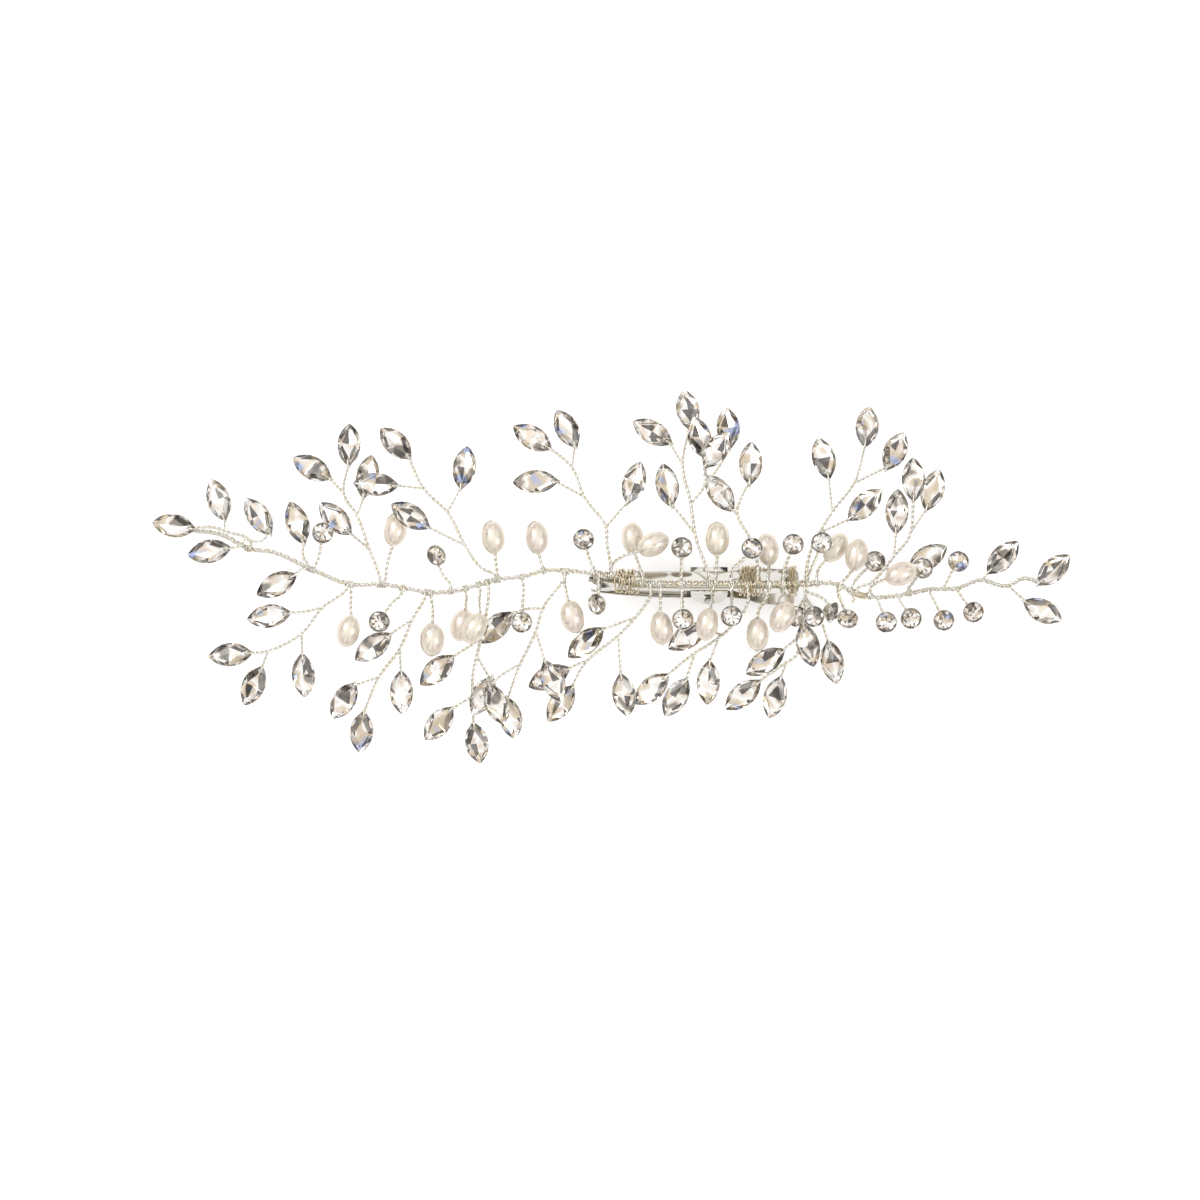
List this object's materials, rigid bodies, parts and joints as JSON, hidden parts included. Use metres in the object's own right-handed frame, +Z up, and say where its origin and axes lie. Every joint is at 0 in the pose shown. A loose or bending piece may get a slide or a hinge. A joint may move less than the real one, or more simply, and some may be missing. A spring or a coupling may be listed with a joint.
{
  "type": "rhinestone hair clip",
  "caption": "Hair ornament: a wire vine of crystal leaves, pearls and rhinestones lashed to a spring alligator clip with a double-prong jaw.",
  "frame": {"origin": "on the surface that the clip lies on, under the middle of its bounding box", "axes": "+X along the vine and the clip, towards the clip's squeezed tail; +Z up, out of the decorated face"},
  "size_m": [0.1944, 0.0792, 0.0191],
  "materials": {
    "nickel": "bright polished",
    "pin_steel": "drawn",
    "wire": "champagne silver plated",
    "crystal": "faceted, foil backed",
    "pearl": "satin pearl"
  },
  "bodies": {
    "vine_and_arm": {"clip_top_arm": "nickel", "hinge_pin": "pin_steel", "lashing_front": "wire", "lashing_rear": "wire", "lashing_tail": "wire", "main_stem": "wire", "pearl_drop_01": "pearl", "pearl_drop_02": "pearl", "pearl_drop_03": "pearl", "pearl_drop_04": "pearl", "pearl_drop_05": "pearl", "pearl_drop_06": "pearl", "pearl_drop_07": "pearl", "pearl_drop_08": "pearl", "pearl_drop_09": "pearl", "pearl_drop_10": "pearl", "pearl_drop_11": "pearl", "pearl_drop_12": "pearl", "pearl_drop_13": "pearl", "pearl_drop_14": "pearl", "pearl_drop_15": "pearl", "pearl_drop_16": "pearl", "pearl_drop_17": "pearl", "pearl_drop_18": "pearl", "pearl_drop_19": "pearl", "rhinestone_drop_01": "crystal", "rhinestone_drop_02": "crystal", "rhinestone_drop_03": "crystal", "rhinestone_drop_04": "crystal", "rhinestone_drop_05": "crystal", "rhinestone_drop_06": "crystal", "rhinestone_drop_07": "crystal", "rhinestone_drop_08": "crystal", "rhinestone_drop_09": "crystal", "rhinestone_drop_10": "crystal", "rhinestone_drop_11": "crystal", "rhinestone_drop_12": "crystal", "rhinestone_drop_13": "crystal", "rhinestone_drop_14": "crystal", "rhinestone_drop_15": "crystal", "sprig_crown": "crystal", "sprig_fan_lower": "crystal", "sprig_inner_lower": "crystal", "sprig_left_lower": "crystal", "sprig_left_shoulder": "crystal", "sprig_left_tip": "crystal", "sprig_left_upper": "crystal", "sprig_mid_lower": "crystal", "sprig_mid_upper": "crystal", "sprig_rear_lower": "crystal", "sprig_rear_upper": "crystal", "sprig_right_tail": "crystal", "sprig_right_upper": "crystal", "sprig_tail_lower": "crystal", "sprig_tail_upper": "crystal", "sprig_tip_lower": "crystal", "sprig_upper": "crystal", "torsion_spring": "pin_steel"},
    "lower_jaw": {"clip_lower_jaw": "nickel"}
  },
  "joints": [
    {"name": "jaw_hinge", "type": "hinge", "parent": "vine_and_arm", "child": "lower_jaw", "pos_m": [0.0206, -0.00197, 0.00689], "axis": [0, -0.9397, 0.342], "range_deg": [0, 17], "stiffness_Nm_per_rad": 0.04, "springref_deg": -1.72, "deforming": ["torsion_spring"]}
  ]
}
